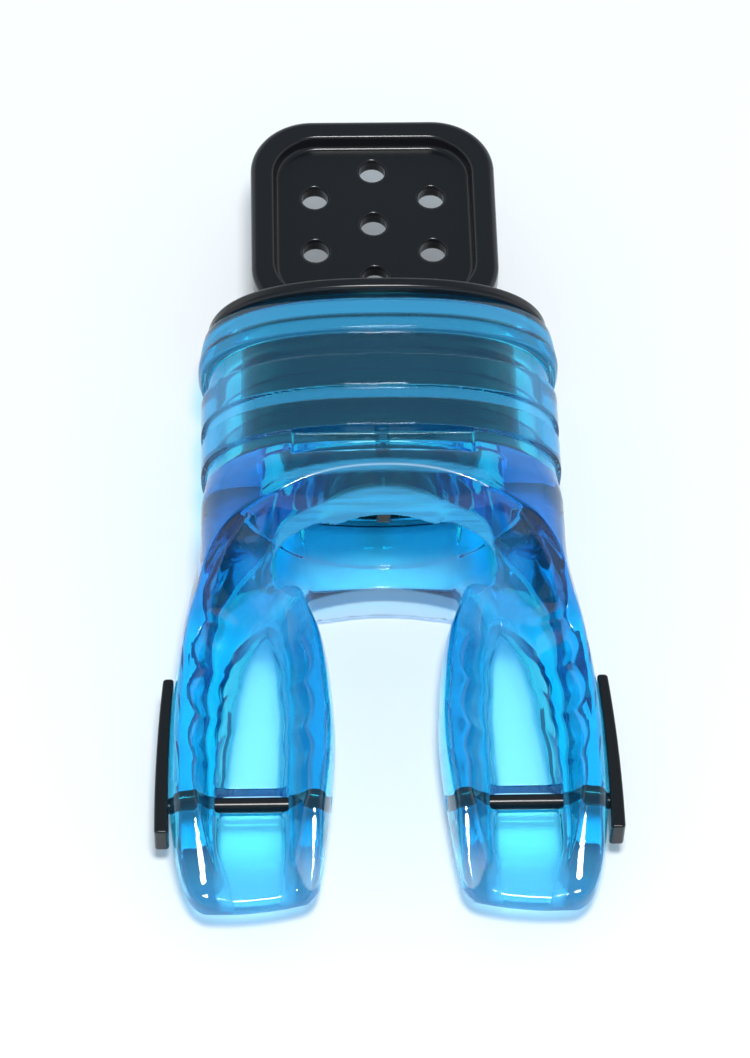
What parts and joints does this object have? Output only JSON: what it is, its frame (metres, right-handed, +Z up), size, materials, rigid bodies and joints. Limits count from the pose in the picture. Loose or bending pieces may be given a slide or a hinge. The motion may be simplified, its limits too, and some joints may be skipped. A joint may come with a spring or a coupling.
{
  "type": "mouldable mouthpiece",
  "caption": "Clear blue mouldable bite mouthpiece with oval ringed neck and two bite wings, on a black forming tool with a perforated handle tray, with swivelling side clips and cross pins.",
  "frame": {"origin": "centre of the neck's oval socket at the bead's rear face", "axes": "+Y out of the neck's socket towards the handle, +Z up, +X to the right when looking along +Y"},
  "size_m": [0.06, 0.1199, 0.0278],
  "materials": {
    "clear_blue": "clear blue, glossy as moulded",
    "tool_black": "black, satin gloss as moulded",
    "clip_black": "black, satin as moulded",
    "pin_black": "black, satin as moulded"
  },
  "bodies": {
    "mouthpiece": {"mouthpiece_body": "clear_blue"},
    "forming_tool": {"core_plug": "tool_black", "stop_flange": "tool_black", "handle_plate": "tool_black"},
    "right_pin": {"right_cross_pin": "pin_black"},
    "right_side_clip": {"right_clip": "clip_black"},
    "left_pin": {"left_cross_pin": "pin_black"},
    "left_side_clip": {"left_clip": "clip_black"}
  },
  "joints": [
    {"name": "tool_slide", "type": "slide", "parent": "mouthpiece", "child": "forming_tool", "axis": [0, 1, 0], "range_m": [0, 0.034]},
    {"name": "right_pin_slide", "type": "slide", "parent": "mouthpiece", "child": "right_pin", "axis": [1, 0, 0], "range_m": [0, 0.022]},
    {"name": "right_clip_swivel", "type": "hinge", "parent": "right_pin", "child": "right_side_clip", "pos_m": [0.0281, -0.0661, -0.0079], "axis": [1, 0, 0], "range_deg": [-10, 100]},
    {"name": "left_pin_slide", "type": "slide", "parent": "mouthpiece", "child": "left_pin", "axis": [-1, 0, 0], "range_m": [0, 0.022]},
    {"name": "left_clip_swivel", "type": "hinge", "parent": "left_pin", "child": "left_side_clip", "pos_m": [-0.0281, -0.0661, -0.0079], "axis": [1, 0, 0], "range_deg": [-10, 100]}
  ]
}
